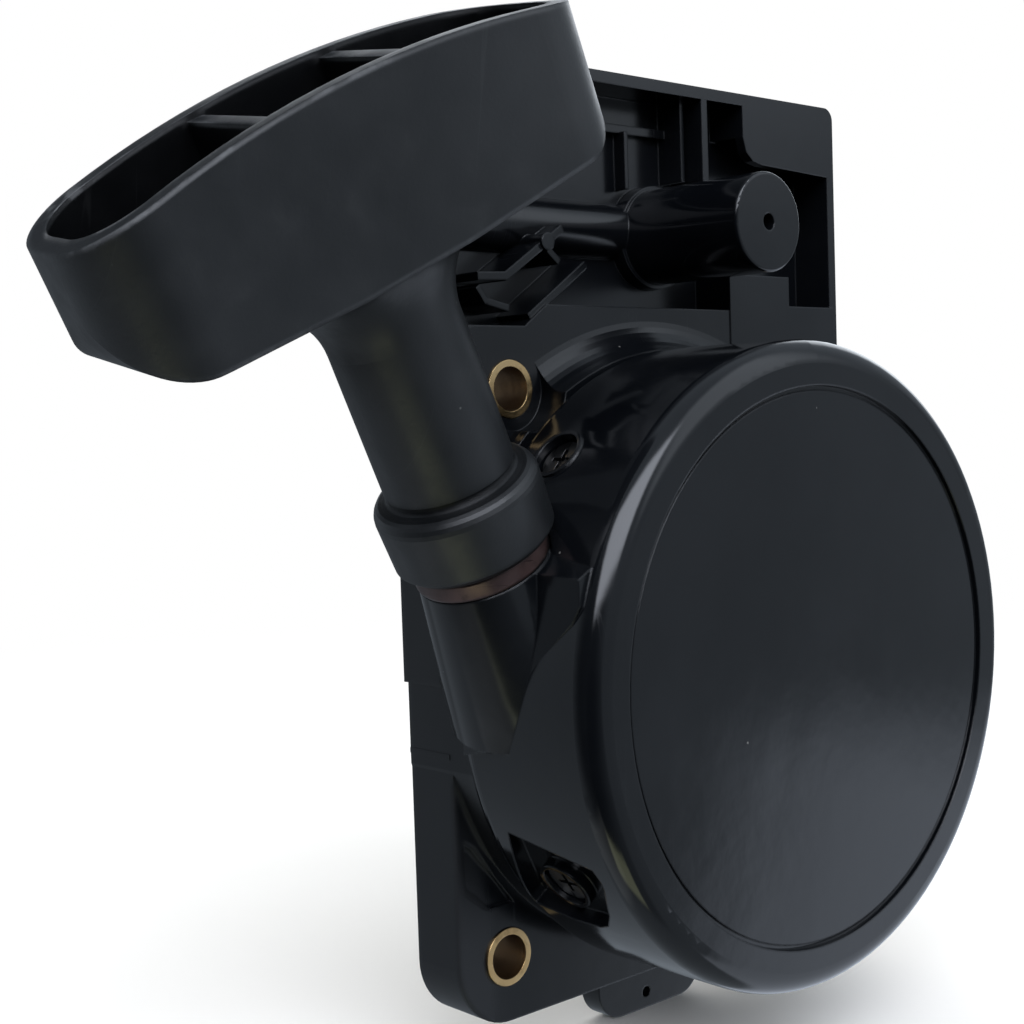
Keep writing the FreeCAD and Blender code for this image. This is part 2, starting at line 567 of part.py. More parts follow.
def spring_case():
    case = ycyl(CASE_R, CASE_Y0, CASE_Y1).cut(ycyl(CASE_IN_R, CASE_Y0 + CASE_FLOOR, -20))
    case = case.cut(ycyl(CASE_HOLE_R, -45, -30))
    # turned-out lip and two radial screw ears
    case = case.fuse(ring(CASE_IN_R, DRUM_IN_R - 0.3, LIP_Y0, LIP_Y1))
    ear_start = CASE_R - 0.5
    for angle, y, _, _ in WELLS:
        ear = radial_cyl(EAR_R, ear_start, EAR_TOP_R - ear_start, angle, y)
        case = case.fuse(ear.common(ycyl(EAR_TOP_R, -45, -10)))
    for angle, y, _, _ in WELLS:
        case = case.cut(radial_cyl(CASE_SCREW_R, CASE_R - 2.0, 8.0, angle, y))
    return one(case)


def case_cover():
    return ring(HUB_R + 0.7, CASE_IN_R - 0.1, COVER_Y0, COVER_Y0 + COVER_T)


def case_screws():
    screws = []
    for angle, y, head_r, _ in WELLS:
        outward, along = radial(angle), Vector(0, 1, 0)
        screw = radial_cyl(HEAD_R, head_r, HEAD_H, angle, y)
        shank_r0 = CASE_R - 0.2
        screw = screw.fuse(radial_cyl(CASE_SCREW_R, shank_r0, head_r - shank_r0 + 0.2,
                                      angle, y))
        # cross recess
        origin = outward * (head_r + SLOT_Z0) + Vector(0, y, 0)
        for slot_axis in (along, outward.cross(along)):
            slot = Part.makeBox(SLOT_LEN, SLOT_W, 2.0, Vector(-SLOT_LEN / 2, -SLOT_W / 2, 0))
            screw = screw.cut(slot.transformGeometry(
                frame(slot_axis, outward.cross(slot_axis), outward, origin)))
        screws.append(one(screw))
    return Part.makeCompound(screws)


# ---------------------------------------------------------------- pawls and drag plate
PAWL_SWING = 24.0        # outward swing
DRAG_SLIP = 16.0         # drag plate slip that opens the pawls
SWING_STEPS = 12
DRAG_R, DRAG_BORE_R = 17.0, 4.1
EAR_REACH, EAR_FROM, EAR_TO = 28.6, -60.0, -21.5     # drag plate ears, radius and angles
EAR_STEPS = 6
PAWL_EYE_R = 4.2
# pawl seen along the axis: radius, angle
PAWL_OUTLINE = [(28.7, 0), (28.9, -10), (29.0, -20), (29.0, -32), (28.9, -44), (28.6, -58),
                (26.6, -62), (24.0, -58), (20.6, -47), (18.2, -36), (17.6, -26), (18.6, -14),
                (20.3, 0)]
COIL_H, COIL_PITCH, COIL_R, COIL_WIRE_R = 4.4, 1.75, 11.1, 0.55


def turned(point, degrees, centre=(0.0, 0.0)):
    """Point (x, z) turned from X towards Z about a centre."""
    angle = math.radians(degrees)
    dx, dz = point[0] - centre[0], point[1] - centre[1]
    return (centre[0] + dx * math.cos(angle) - dz * math.sin(angle),
            centre[1] + dx * math.sin(angle) + dz * math.cos(angle))


def peg_path(angle):
    """Peg centres seen from the drag plate while the pawl swings out, with one step
    more at each end."""
    pivot = polar(PAWL_PIVOT_R, angle)
    peg = polar(PEG_AT, angle + PEG_ANGLE)
    path = []
    for i in range(-1, SWING_STEPS + 2):
        part = i / SWING_STEPS
        path.append(turned(turned(peg, PAWL_SWING * part, pivot), -DRAG_SLIP * part))
    return path


def peg_slot(angle):
    radius = PEG_R + 0.35
    y0, y1 = DRAG_Y0 - OVER, DRAG_Y1 + OVER
    path = peg_path(angle)
    slot = ycyl(radius, y0, y1, path[0])
    for start, end in zip(path, path[1:]):
        slot = slot.fuse(ycyl(radius, y0, y1, end))
        slot = slot.fuse(strip(start, end, 2 * radius, y0, y1))
    return slot


def drag_ear(angle):
    wedge = [(0.0, 0.0)]
    for i in range(EAR_STEPS + 1):
        wedge.append(polar(2 * EAR_REACH,
                           angle + EAR_FROM + (EAR_TO - EAR_FROM) * i / EAR_STEPS))
    return ycyl(EAR_REACH, DRAG_Y0, DRAG_Y1).common(
        prism(wedge, DRAG_Y0 - OVER, DRAG_Y1 + OVER))


def drag_plate():
    """Disc with two ears that reach over the pawl pegs."""
    plate = ycyl(DRAG_R, DRAG_Y0, DRAG_Y1)
    for angle in PAWL_ANGLES:
        plate = plate.fuse(drag_ear(angle))
    plate = plate.cut(ycyl(DRAG_BORE_R, -10, 5))
    for angle in PAWL_ANGLES:
        plate = plate.cut(peg_slot(angle))
    return one(plate)


def pawl(angle):
    """Flat pawl: eye round the pivot, curved body, engaging tip and peg."""
    pivot = (PAWL_PIVOT_R, 0)
    body = prism([polar(*point) for point in PAWL_OUTLINE], PAWL_Y0, PAWL_Y1)
    body = body.fuse(ycyl(PAWL_EYE_R, PAWL_Y0, PAWL_Y1, pivot))
    body = body.fuse(ycyl(PEG_R, PAWL_Y1 - 0.5, DRAG_Y1 + 0.6, polar(PEG_AT, PEG_ANGLE)))
    body = body.cut(ycyl(PAWL_PIN_R + 0.05, PAWL_Y0 - OVER, PAWL_Y1 + OVER, pivot))
    body = one(body)
    if angle:
        body.rotate(Vector(0, 0, 0), Vector(0, 1, 0), -angle)
    return body


def pawl_pins():
    return Part.makeCompound([ycyl(PAWL_PIN_R, PAWL_PIN_Y0, PAWL_Y1,
                                   polar(PAWL_PIVOT_R, angle)) for angle in PAWL_ANGLES])


def friction_spring():
    """Open coil in the pulley recess, in front of the drag plate."""
    helix = Part.makeHelix(COIL_PITCH, COIL_H, COIL_R)
    section = Part.Wire([Part.makeCircle(COIL_WIRE_R, Vector(COIL_R, 0, 0),
                                         Vector(0, 1, 0))])
    coil = Part.Wire(helix.Edges).makePipeShell([section], True, True)
    # the sweep may come back as a shell or compound instead of a solid
    if coil.ShapeType != "Solid":
        coil = Part.Solid(coil.Shells[0]) if coil.Shells else coil
    coil.rotate(Vector(0, 0, 0), Vector(1, 0, 0), -90)
    coil.translate(Vector(0, PULLEY_REAR_Y - SPRING_RECESS + COIL_WIRE_R + 0.12, 0))
    return coil


# ---------------------------------------------------------------- centre fastening
WASHER_HUB_R, WASHER_R = 4.0, 8.5
SCREW_HEAD_R, SCREW_HEAD_H, SCREW_HEAD_FILLET = 4.6, 1.5, 0.5
SCREW_TIP_Y = -19.0
CROSS_LEN, CROSS_W, CROSS_FLOOR = 4.4, 0.9, 0.75


def post_insert():
    return ring(SCREW_R, INSERT_R, INSERT_Y0, POST_END_Y)


def centre_washer():
    washer = ycyl(WASHER_HUB_R, POST_END_Y, WASHER_Y0)
    washer = washer.fuse(ycyl(WASHER_R, WASHER_Y0, WASHER_Y1))
    return one(washer.cut(ycyl(SCREW_R + 0.1, -20, 5)))


def centre_screw():
    head = ycyl(SCREW_HEAD_R, WASHER_Y1, WASHER_Y1 + SCREW_HEAD_H)
    rear = [edge for edge in head.Edges if edge.BoundBox.YMin > WASHER_Y1 + 1.4]
    screw = head.makeFillet(SCREW_HEAD_FILLET, rear)
    screw = screw.fuse(ycyl(SCREW_R, SCREW_TIP_Y, WASHER_Y1 + 0.2))
    for angle in (0, 90):
        slot = Part.makeBox(CROSS_LEN, 1.4, CROSS_W,
                            Vector(-CROSS_LEN / 2, WASHER_Y1 + CROSS_FLOOR, -CROSS_W / 2))
        slot.rotate(Vector(0, 0, 0), Vector(0, 1, 0), angle)
        screw = screw.cut(slot)
    return one(screw)


# ---------------------------------------------------------------- handle
# Built in its own frame: x along the bar, y across it, z up the stem from the collar base.
COLLAR_R, COLLAR_TOP_R, COLLAR_H = 11.2, 11.4, 10.3
COLLAR_EDGE = 0.8        # chamfer at the collar base
SHOULDER_W, SHOULDER_H = 1.6, 2.0        # rounding at the collar top
STEM_R = 8.95
STEM_NECK_R = STEM_R - 0.25              # fine groove above the collar
STEM_TOP_R = STEM_R - 0.1
BAR_HALF, BAR_T = 36.3, 24.4
BAR_TOP_MID, BAR_TOP_DROP = 64.9, 0.0037
BAR_BOT = 41.4
BAR_FLAT = 8.0           # half length of the flat middle of the underside
BAR_WALL = 2.6
BAR_END_R = 9.0          # rounding of the bar's lower corners, seen from the side
BAR_PLAN_R = 10.0        # rounding of the bar's corners, seen from above
ROOT_ALONG, ROOT_ACROSS, ROOT_H = 10.5, 3.1, 10.0    # flare of the stem root
ROOT_TOP = BAR_BOT + 0.6
ROOT_STEPS = 8
CAVITY_FLOOR = 45.4
GRIP_RIB_X, GRIP_RIB_T = 9.7, 2.2        # cross ribs left standing in the hollow
GRIP_BORE_R = 2.3
ROPE_WASHER_R, ROPE_WASHER_BORE, ROPE_WASHER_T = 6.2, 2.1, 1.2
PULL_TILT = -0.163       # radians, bar turned about the stem axis

level_axis = Vector(0, 1, 0).cross(ROPE_AXIS)
level_axis.normalize()
BAR_AXIS = (level_axis * math.cos(PULL_TILT)
            + ROPE_AXIS.cross(level_axis) * math.sin(PULL_TILT))
HANDLE_FRAME = frame(BAR_AXIS, ROPE_AXIS.cross(BAR_AXIS), ROPE_AXIS, on_rope(COLLAR_S))


def place(shape):
    shape.Placement = FreeCAD.Placement(HANDLE_FRAME).multiply(shape.Placement)
    return shape


def bar_top(x):
    return BAR_TOP_MID - BAR_TOP_DROP * x * x


def bar_side():
    """Side outline of the bar in x and z: domed top, rounded lower corners."""
    half, radius = BAR_HALF, BAR_END_R
    end_z, top_z = BAR_BOT + 1.0, bar_top(half)
    inner = half - radius
    diagonal = radius * math.sqrt(0.5)

    def point(x, z):
        return Vector(x, 0, z)

    def corner(side):
        middle = point(side * (inner + diagonal), end_z + radius - diagonal)
        ends = [point(side * inner, end_z), point(side * half, end_z + radius)]
        if side > 0:
            ends.reverse()
        return Part.Arc(ends[0], middle, ends[1]).toShape()

    return Part.Wire([
        Part.makeLine(point(BAR_FLAT, BAR_BOT), point(-BAR_FLAT, BAR_BOT)),
        Part.makeLine(point(-BAR_FLAT, BAR_BOT), point(-inner, end_z)),
        corner(-1),
        Part.makeLine(point(-half, end_z + radius), point(-half, top_z)),
        Part.Arc(point(-half, top_z), point(0, BAR_TOP_MID), point(half, top_z)).toShape(),
        Part.makeLine(point(half, top_z), point(half, end_z + radius)),
        corner(1),
        Part.makeLine(point(inner, end_z), point(BAR_FLAT, BAR_BOT))])


def cavity_side():
    """Side outline of the hollow, which is open through the top of the bar."""
    half, top = BAR_HALF - BAR_WALL, BAR_TOP_MID + 4
    right = [(half, top), (half, CAVITY_FLOOR + 6), (half - 1.8, CAVITY_FLOOR + 1.8),
             (half - 6, CAVITY_FLOOR)]
    outline = [(-x, z) for x, z in reversed(right)] + right
    return Part.makePolygon([Vector(x, 0, z) for x, z in outline + outline[:1]])


def bar_solid(side, inset):
    """Side outline carried across the bar and trimmed to its rounded plan."""
    length, width = BAR_HALF - inset, BAR_T / 2 - inset
    body = Part.Face(side).extrude(Vector(0, 2 * width + 4, 0))
    body.translate(Vector(0, -width - 2, 0))
    plan = rounded_face(-length, length, -width, width, [BAR_PLAN_R - inset] * 4,
                        lambda x, y: Vector(x, y, 20))
    return body.common(plan.extrude(Vector(0, 0, 60)))


def stem():
    shoulder_z = COLLAR_H - 2.4
    root_z = ROOT_TOP - ROOT_H
    profile = [(0, 0.0), (COLLAR_R - COLLAR_EDGE, 0.0), (COLLAR_R, COLLAR_EDGE),
               (COLLAR_TOP_R, shoulder_z)]
    for i in range(1, 6):
        angle = math.radians(18 * i)
        profile.append((COLLAR_TOP_R - SHOULDER_W + SHOULDER_W * math.cos(angle),
                        shoulder_z + SHOULDER_H * math.sin(angle)))
    profile += [(STEM_R + 0.2, COLLAR_H - 0.2), (STEM_NECK_R, COLLAR_H + 0.1),
                (STEM_NECK_R, COLLAR_H + 0.7), (STEM_R, COLLAR_H + 0.9),
                (STEM_TOP_R, root_z), (0, root_z)]
    shaft = polygon_face([Vector(radius, 0, z) for radius, z in profile])
    shaft = shaft.revolve(Vector(0, 0, 0), Vector(0, 0, 1), 360)
    # the root flares wide along the bar and only to the bar's faces across it
    sections = []
    for i in range(ROOT_STEPS + 1):
        angle = math.radians(90 / ROOT_STEPS * i)
        along = STEM_TOP_R + ROOT_ALONG * (1 - math.cos(angle))
        across = STEM_TOP_R + ROOT_ACROSS * (1 - math.cos(angle))
        if i:
            curve = Part.Ellipse(Vector(0, 0, 0), along, across)
        else:
            curve = Part.Circle(Vector(0, 0, 0), Vector(0, 0, 1), along)
        section = Part.Wire([curve.toShape()])
        section.translate(Vector(0, 0, ROOT_TOP - ROOT_H * (1 - math.sin(angle))))
        sections.append(section)
    return shaft.fuse(Part.makeLoft(sections, True, False))


def handle_grip():
    bar = bar_solid(bar_side(), 0.0)
    hollow = bar_solid(cavity_side(), BAR_WALL)
    for x in (-GRIP_RIB_X, GRIP_RIB_X):
        hollow = hollow.cut(box(x - GRIP_RIB_T / 2, x + GRIP_RIB_T / 2, -20, 20,
                                CAVITY_FLOOR - OVER, bar_top(GRIP_RIB_X) - 0.7))
    grip = bar.fuse(stem()).cut(hollow)
    grip = grip.cut(Part.makeCylinder(GRIP_BORE_R, 60, Vector(0, 0, -OVER)))
    return place(one(grip))


def rope_washer():
    washer = Part.makeCylinder(ROPE_WASHER_R, ROPE_WASHER_T, Vector(0, 0, CAVITY_FLOOR))
    return place(washer.cut(Part.makeCylinder(ROPE_WASHER_BORE, 4,
                                              Vector(0, 0, CAVITY_FLOOR - OVER))))


def handle_knot():
    """Two stacked loops round a core, with a slanting tail."""
    z = CAVITY_FLOOR + ROPE_WASHER_T
    knot = Part.makeTorus(2.3, 1.75, Vector(0, 0, z + 1.75))
    knot = knot.fuse(Part.makeTorus(1.9, 1.7, Vector(0.3, 0, z + 4.2)))
    knot = knot.fuse(Part.makeCylinder(1.9, 5.0, Vector(0, 0, z + 0.6)))
    tail = Part.makeCylinder(ROPE_R, 5.5, Vector(0.6, 0.3, z + 4.0), Vector(0.45, 0.2, 0.87))
    return place(one(knot.fuse(tail)))


def rope_lead():
    """Straight run from the pulley through the outlet bush up to the knot."""
    return rope_cyl(ROPE_R, 0.0, COLLAR_S + CAVITY_FLOOR + 1.0)


# ---------------------------------------------------------------- export
PARTS = [
    ("starter_housing", housing), ("mounting_sleeves", sleeves),
    ("rope_guide_bush", rope_bush), ("post_insert", post_insert),
    ("spring_case", spring_case), ("case_cover", case_cover),
    ("case_screws", case_screws), ("recoil_spring", recoil_spring),
    ("centre_washer", centre_washer), ("centre_screw", centre_screw),
    ("rope_pulley", pulley), ("pulley_bush", pulley_bush),
    ("rope_coil", rope_coil), ("pulley_knot", pulley_knot),
    ("pawl_pins", pawl_pins), ("friction_spring", friction_spring),
    ("drag_plate", drag_plate), ("pawl_a", lambda: pawl(PAWL_ANGLES[0])),
    ("pawl_b", lambda: pawl(PAWL_ANGLES[1])), ("handle_grip", handle_grip),
    ("rope_washer", rope_washer), ("handle_knot", handle_knot), ("rope_lead", rope_lead),
]

os.makedirs("parts", exist_ok=True)
for name, make in PARTS:
    make().exportStep("parts/" + name + ".step")
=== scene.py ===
"""Recoil starter: housing, grip, rope pulley and spring parts, in metres with +Z up.

The pulley turns about an axis along Y. The rope leaves it along PULL_AXIS, up and
towards -X, to the grip. The camera stands on the -X -Y side. The CAD pieces get
materials, and the four rope pieces are replaced by modelled cord.
"""
import math
import random

import bmesh
import bpy
import numpy as np
from mathutils import Matrix, Vector


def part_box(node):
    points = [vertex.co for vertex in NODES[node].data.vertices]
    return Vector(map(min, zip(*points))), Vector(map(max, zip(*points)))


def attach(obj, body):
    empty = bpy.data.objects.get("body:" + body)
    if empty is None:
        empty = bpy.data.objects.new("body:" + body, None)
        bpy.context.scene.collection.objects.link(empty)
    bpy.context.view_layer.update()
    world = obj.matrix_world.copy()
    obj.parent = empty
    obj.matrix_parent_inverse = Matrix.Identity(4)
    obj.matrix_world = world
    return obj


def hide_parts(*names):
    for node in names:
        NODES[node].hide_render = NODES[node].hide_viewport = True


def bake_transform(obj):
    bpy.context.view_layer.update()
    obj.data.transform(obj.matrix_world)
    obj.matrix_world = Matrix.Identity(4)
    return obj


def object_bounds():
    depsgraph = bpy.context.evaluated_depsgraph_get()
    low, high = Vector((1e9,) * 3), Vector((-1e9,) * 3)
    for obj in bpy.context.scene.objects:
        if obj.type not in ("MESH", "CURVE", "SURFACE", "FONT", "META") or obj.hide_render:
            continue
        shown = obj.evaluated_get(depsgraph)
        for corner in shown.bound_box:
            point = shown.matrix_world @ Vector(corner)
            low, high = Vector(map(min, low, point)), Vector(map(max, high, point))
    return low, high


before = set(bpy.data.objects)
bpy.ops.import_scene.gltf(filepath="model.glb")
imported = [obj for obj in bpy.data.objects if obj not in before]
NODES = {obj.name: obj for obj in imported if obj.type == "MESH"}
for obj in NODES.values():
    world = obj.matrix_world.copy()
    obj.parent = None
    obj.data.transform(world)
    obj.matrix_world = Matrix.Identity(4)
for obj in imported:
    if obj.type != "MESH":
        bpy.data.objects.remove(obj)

cad_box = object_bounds()
random.seed(11)

PULL_AXIS = (-0.4803, -0.1165, 0.8693)
ROPE_DIR = Vector(PULL_AXIS).normalized()
ROPE_RADIUS = 0.00175
STRANDS = 4             # strands each way round the cord
BRAID_PITCH = 0.0021    # length along the cord per strand crossing
TAPER_RINGS = 3         # rings that round off each end of a cord


def add_object(name, data):
    obj = bpy.data.objects.new(name, data)
    bpy.context.scene.collection.objects.link(obj)
    return obj


def mesh_from(name, bm):
    mesh = bpy.data.meshes.new(name)
    bm.to_mesh(mesh)
    bm.free()
    return mesh


# ------------------------------------------------------------------ node kit
class Signal:
    """A node output. Arithmetic on it adds math nodes."""

    def __init__(self, graph, socket):
        self.graph = graph
        self.socket = socket

    def __add__(self, other):
        return self.graph.math("ADD", self, other)

    def __radd__(self, other):
        return self.graph.math("ADD", other, self)

    def __sub__(self, other):
        return self.graph.math("SUBTRACT", self, other)

    def __rsub__(self, other):
        return self.graph.math("SUBTRACT", other, self)

    def __mul__(self, other):
        return self.graph.math("MULTIPLY", self, other)

    def __truediv__(self, other):
        return self.graph.math("DIVIDE", self, other)

    def __mod__(self, other):
        return self.graph.math("FLOORED_MODULO", self, other)

    def __pow__(self, other):
        return self.graph.math("POWER", self, other)

    def __abs__(self):
        return self.graph.math("ABSOLUTE", self)

    def max(self, other):
        return self.graph.math("MAXIMUM", self, other)

    def ramp(self, over, to=(0, 1)):
        """Smooth clamped step: the range `over` becomes the range `to`."""
        inputs = {"Value": self, "From Min": over[0], "From Max": over[1],
                  "To Min": to[0], "To Max": to[1]}
        return self.graph.node("MapRange", inputs, interpolation_type="SMOOTHSTEP", clamp=True)

    def also(self, output):
        """Another output of the same node."""
        return Signal(self.graph, self.socket.node.outputs[output])


class Graph:
    """The node tree of a material or world. Inputs are Signals, numbers or tuples."""

    def __init__(self, owner):
        owner.use_nodes = True
        self.tree = owner.node_tree
        self.tree.nodes.clear()

    def node(self, kind, inputs=None, out=0, **settings):
        """Add a node, fill its inputs by name or index, and return one output."""
        node = self.tree.nodes.new("ShaderNode" + kind)
        for key, value in settings.items():
            setattr(node, key, value)
        for key, value in (inputs or {}).items():
            if isinstance(value, Signal):
                self.tree.links.new(value.socket, node.inputs[key])
            else:
                node.inputs[key].default_value = value
        return Signal(self, node.outputs[out])

    def finish(self, shader, kind):
        """Link the shader to an output node, which has no outputs of its own."""
        output = self.tree.nodes.new("ShaderNodeOutput" + kind)
        self.tree.links.new(shader.socket, output.inputs[0])

    def math(self, operation, *values):
        return self.node("Math", dict(enumerate(values)), operation=operation)

    def vmath(self, operation, *values, out=0):
        return self.node("VectorMath", dict(enumerate(values)), out, operation=operation)

    def dot(self, first, second):
        return self.vmath("DOT_PRODUCT", first, second, out="Value")

    def scaled(self, vector, factor):
        return self.node("VectorMath", {0: vector, "Scale": factor}, operation="SCALE")

    def xyz(self, vector):
        x = self.node("SeparateXYZ", {0: vector})
        return x, x.also(1), x.also(2)


class Material(Graph):
    """A material whose patterns lie in the piece's own coordinates."""

    def __init__(self, name):
        self.material = bpy.data.materials.new(name)
        super().__init__(self.material)
        self.obj = self.node("TexCoord", out="Object")

    def surface(self, inputs):
        self.finish(self.node("BsdfPrincipled", inputs), "Material")
        return self.material

    def mapped(self, scale=(1, 1, 1), loc=(0, 0, 0), rot=(0, 0, 0)):
        inputs = {"Vector": self.obj, "Scale": scale, "Location": loc, "Rotation": rot}
        return self.node("Mapping", inputs)

    def noise(self, scale, detail, rough, at=None):
        return self.node("TexNoise", {"Vector": at or self.obj, "Scale": scale,
                                      "Detail": detail, "Roughness": rough})

    def mix(self, below, above, by):
        return self.node("Mix", {0: by, 6: below, 7: above}, out=2, data_type="RGBA")

    def bump(self, height, dist, strength, normal=None):
        inputs = {"Height": height, "Distance": dist, "Strength": strength}
        if normal is not None:
            inputs["Normal"] = normal
        return self.node("Bump", inputs)

    def normal(self):
        return self.node("NewGeometry", out="Normal")

    def bevel(self, radius, samples=4):
        """Rounded normal. Smooth walls keep their own, so their facets never show."""
        rounded = self.node("Bevel", {"Radius": radius}, samples=samples)
        plain = self.normal()
        turn = (1 - self.dot(rounded, plain)).ramp(over=(0.018, 0.06))
        mixed = self.node("Mix", {0: turn, 4: plain, 5: rounded}, out=1, data_type="VECTOR")
        return self.vmath("NORMALIZE", mixed)

    def edge(self, bevel, over=(0.02, 0.25)):
        """1 along sharp edges, 0 on open surface."""
        return (1 - self.dot(bevel, self.normal())).ramp(over)

    def open_area(self, dist, over, samples, local=True):
        """1 in the open, 0 deep inside a hollow (of the piece itself when local)."""
        return self.node("AmbientOcclusion", {"Distance": dist}, out="AO",
                         samples=samples, only_local=local).ramp(over)

    def scratches(self, seed, density):
        """Thin straight hairlines in three directions, as a 0..1 mask."""
        total = None
        rnd = random.Random(seed)
        for k in range(3):
            rot = (rnd.uniform(0, 3), rnd.uniform(0, 3), rnd.uniform(0, 3))
            # stretched over 30 times along each line
            streaks = self.mapped((density, density * 0.03, density * 0.03),
                                  (rnd.random() * 5,) * 3, rot)
            cell = self.noise(scale=1, detail=0, rough=0.5, at=streaks)
            line = abs(cell - 0.5).ramp(over=(0, 0.0054), to=(1, 0))
            patch = self.noise(scale=40 + 13 * k, detail=1, rough=0.5,
                               at=self.mapped(loc=(k * 3.1, seed, 0)))
            scratch = line * patch.ramp(over=(0.56, 0.66))
            total = scratch if total is None else total.max(scratch)
        return total

    def dust(self, scale, size, amount):
        """Sparse small specks, as a 0..1 mask. amount is the share of cells with one."""
        cells = self.node("TexVoronoi", {"Vector": self.obj, "Scale": scale}, out="Distance")
        near = cells.ramp(over=(size * 0.5, size), to=(1, 0))
        red = self.node("SeparateColor", {0: cells.also("Color")})
        return near * self.math("LESS_THAN", red, amount)


def rgb(r, g, b):
    return (r, g, b, 1.0)


# ------------------------------------------------------------------ materials
def gloss_black():
    """Moulded glossy black housing plastic."""
    mat = Material("housing_gloss_black")
    x, y, z = mat.xyz(mat.obj)
    # the outlet block towards -X has well rounded, satin corners
    flank = x.ramp(over=(-0.036, -0.040)) * y.ramp(over=(-0.016, -0.012))
    bevel = mat.bevel(radius=0.00045 + flank * 0.0011)
    edge = mat.edge(bevel)
    cloud = mat.noise(scale=38, detail=4, rough=0.55)
    base = mat.mix(rgb(0.0022, 0.0027, 0.0036), rgb(0.0045, 0.0051, 0.0062),
                   by=cloud.ramp(over=(0.35, 0.7)))
    base = mat.mix(base, rgb(0.022, 0.023, 0.025), by=edge * 0.3)
    specks = mat.dust(scale=230, size=0.055, amount=0.045)
    base = mat.mix(base, rgb(0.23, 0.22, 0.20), by=specks * 0.55)
    # hand-wiped smears
    smear = mat.noise(scale=1, detail=3, rough=0.55,
                      at=mat.mapped((55, 55, 22), (0.3, 0, 0), (0, 0.7, 0)))
    # each mask adds its share of roughness to the polished plastic
    rough = (cloud.ramp(over=(0.3, 0.75), to=(0.075, 0.135))
             + mat.scratches(seed=3, density=300) * 0.07
             + edge * 0.06
             + specks * 0.4
             + smear.ramp(over=(0.48, 0.72), to=(0, 0.06))
             + flank * 0.20
             + y.ramp(over=(-0.0155, -0.0130), to=(0, 0.10)))
    # walls that do not face along Y lose shine in two places: high up, and in the
    # corner between the upper sleeve boss and the neck
    wall = abs(mat.xyz(mat.normal())[1]).ramp(over=(0.55, 0.8), to=(1, 0))
    tray = z.ramp(over=(0.044, 0.050)) * wall
    from_corner = mat.vmath("SUBTRACT", mat.obj, (-0.0304, -0.012, 0.042))
    near = mat.vmath("LENGTH", from_corner, out="Value")
    dull = near.ramp(over=(0.011, 0.017), to=(1, 0)) * wall
    # broad moulding waves, then a fine grain
    waves = (mat.noise(scale=26, detail=2, rough=0.4) * 1.0
             + mat.noise(scale=90, detail=2, rough=0.5) * 0.18)
    normal = mat.bump(waves, dist=0.00055, strength=0.35, normal=bevel)
    grain = mat.noise(scale=420, detail=2, rough=0.5)
    return mat.surface({
        "Base Color": base,
        "Roughness": rough,
        "IOR": 1.5,
        "Specular IOR Level": 0.5 - (tray * 0.32).max(dull * 0.44),
        "Normal": mat.bump(grain, dist=0.000012, strength=0.6, normal=normal),
    })


def satin_charcoal():
    """Softer satin black of the grip, lighter where it has rubbed."""
    mat = Material("handle_satin_charcoal")
    x, _, z = mat.xyz(mat.obj)
    bevel = mat.bevel(radius=0.0018, samples=8)
    edge = mat.edge(bevel, over=(0.015, 0.2))
    cloud = mat.noise(scale=30, detail=4, rough=0.6)
    mottle = mat.noise(scale=170, detail=4, rough=0.6)
    is_open = mat.open_area(dist=0.024, over=(0.60, 0.98), samples=8)
    base = mat.mix(rgb(0.0070, 0.0078, 0.0086), rgb(0.0110, 0.0120, 0.0130),
                   by=cloud.ramp(over=(0.35, 0.7)))
    base = mat.mix(base, rgb(0.021, 0.022, 0.0225),
                   by=mottle.ramp(over=(0.58, 0.78), to=(0, 0.30)))
    # painted shade: near black deep in the grip's hollows, where ambient occlusion is low
    base = mat.mix(rgb(0.0022, 0.0024, 0.0027), base, by=is_open)
    rubbed = mat.noise(scale=95, detail=4, rough=0.7).ramp(over=(0.46, 0.62))
    wear = edge * rubbed * is_open
    # knocks on the -X end of the bar, on its crown and edges
    tip = x.ramp(over=(-0.098, -0.106)) * z.ramp(over=(0.060, 0.066))
    crown = mat.dot(mat.normal(), PULL_AXIS).ramp(over=(0.35, 0.8))
    crown = crown.max(edge.ramp(over=(0, 0.3)))
    knocks = mat.noise(scale=330, detail=4, rough=0.7).ramp(over=(0.47, 0.60))
    wear = wear.max(crown * tip * knocks)
    base = mat.mix(base, rgb(0.16, 0.163, 0.165), by=wear * (0.5 + tip * 0.4))
    # painted highlight: lighter towards the +X end and top of the bar
    painted_sheen = x.ramp(over=(-0.078, -0.046)) * z.ramp(over=(0.060, 0.078))
    base = mat.mix(base, rgb(0.0255, 0.0265, 0.0275), by=painted_sheen * is_open * 0.75)
    hairlines = mat.scratches(seed=8, density=360)
    base = mat.mix(base, rgb(0.06, 0.062, 0.062), by=hairlines * 0.12)
    specks = mat.dust(scale=260, size=0.06, amount=0.05)
    base = mat.mix(base, rgb(0.2, 0.2, 0.19), by=specks * 0.4)
    waves = mat.noise(scale=45, detail=2, rough=0.5)
    normal = mat.bump(waves, dist=0.0005, strength=0.3, normal=bevel)
    grain = mat.noise(scale=1500, detail=2, rough=0.6)
    return mat.surface({
        "Base Color": base,
        # worn places are rougher
        "Roughness": mottle.ramp(over=(0.3, 0.7), to=(0.33, 0.44)) + wear * 0.12,
        "IOR": 1.5,
        # hollows shine less
        "Specular IOR Level": 0.14 + is_open * 0.36,
        "Normal": mat.bump(grain, dist=0.00004, strength=0.5, normal=normal),
    })


